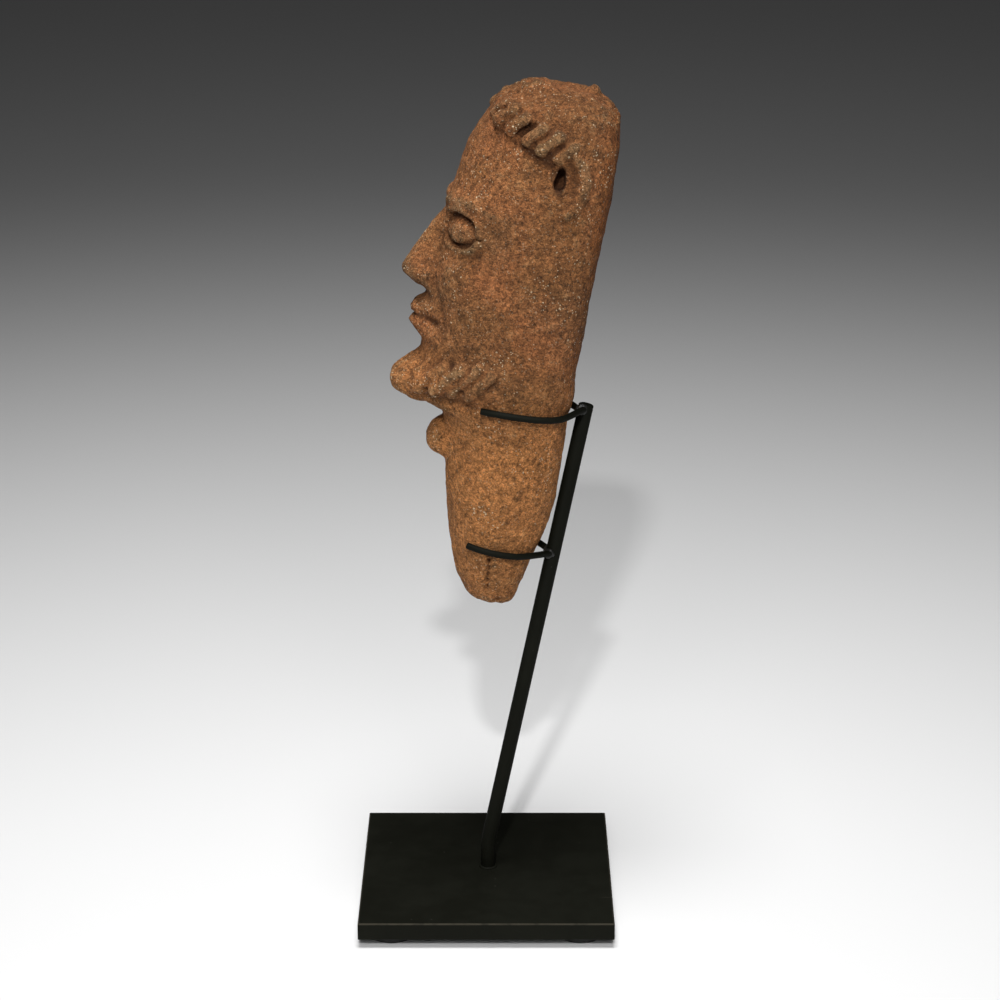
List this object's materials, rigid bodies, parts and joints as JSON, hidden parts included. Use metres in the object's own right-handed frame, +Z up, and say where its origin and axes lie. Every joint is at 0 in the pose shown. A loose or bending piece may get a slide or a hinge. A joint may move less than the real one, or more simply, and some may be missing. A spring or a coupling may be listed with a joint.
{
  "type": "terracotta funerary figure",
  "caption": "Fired clay funerary head on a long tapering peg, leaning back in a square-based black steel display stand with wire clips.",
  "frame": {"origin": "on the surface it stands on, under the centre of the square base plate", "axes": "+Z up; the head faces -X and its flat back is towards +X; +Y is across it, away from the picture's camera, which looks along +Y"},
  "size_m": [0.0888, 0.0888, 0.2953],
  "materials": {
    "terracotta": "coarse unglazed fired clay, red-brown, worn and gritty with pale specks",
    "black_steel": "matt black paint on steel, a little worn on the edges",
    "pad_rubber": "matt black"
  },
  "bodies": {
    "root": {"terracotta_figure": "terracotta", "base_plate": "black_steel", "support_rod": "black_steel", "upper_clip_left": "black_steel", "upper_clip_right": "black_steel", "lower_clip_left": "black_steel", "lower_clip_right": "black_steel", "pad_front_left": "pad_rubber", "pad_front_right": "pad_rubber", "pad_back_left": "pad_rubber", "pad_back_right": "pad_rubber"}
  },
  "joints": []
}
